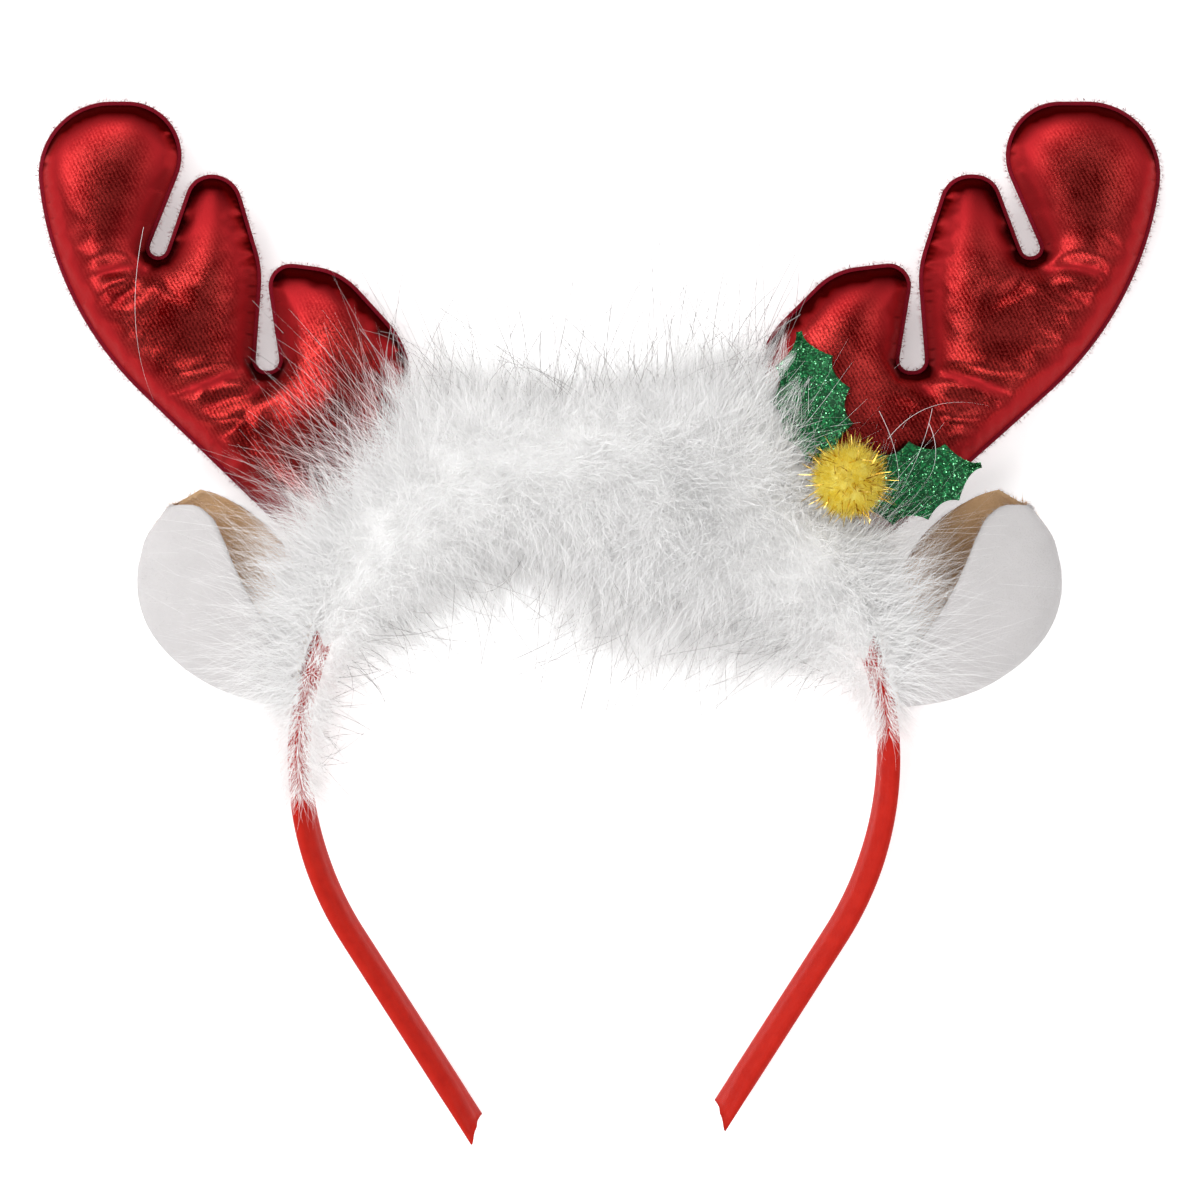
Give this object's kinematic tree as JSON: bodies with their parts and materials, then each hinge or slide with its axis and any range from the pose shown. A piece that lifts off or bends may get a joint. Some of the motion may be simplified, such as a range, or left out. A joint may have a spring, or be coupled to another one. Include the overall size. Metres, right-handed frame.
{
  "type": "reindeer antler and ear headband",
  "caption": "Costume headband: an arched satin-covered head band with stuffed red antlers, rolled felt ears, a fluffy feather trim and a sprig of holly.",
  "frame": {"origin": "under the middle of the whole part, on the surface that it lies on with its back down", "axes": "+X to the right seen from the front, +Y from the band's tips towards the antler tips, +Z out of the front"},
  "size_m": [0.2394, 0.2224, 0.0381],
  "materials": {
    "satin": "satin",
    "foil_knit": "metallic",
    "red_felt": "matte",
    "white_felt": "matte",
    "tan_plush": "matte",
    "marabou": "matte",
    "glitter_foam": "glitter",
    "tinsel": "glossy"
  },
  "bodies": {
    "root": {"head_band": "satin", "antler_front_left": "foil_knit", "antler_front_right": "foil_knit", "antler_back_left": "red_felt", "antler_back_right": "red_felt", "ear_shell_left": "white_felt", "ear_shell_right": "white_felt", "ear_lining_left": "tan_plush", "ear_lining_right": "tan_plush", "feather_trim": "marabou", "holly_leaf_upper": "glitter_foam", "holly_leaf_lower": "glitter_foam", "holly_berry": "tinsel"}
  },
  "joints": []
}
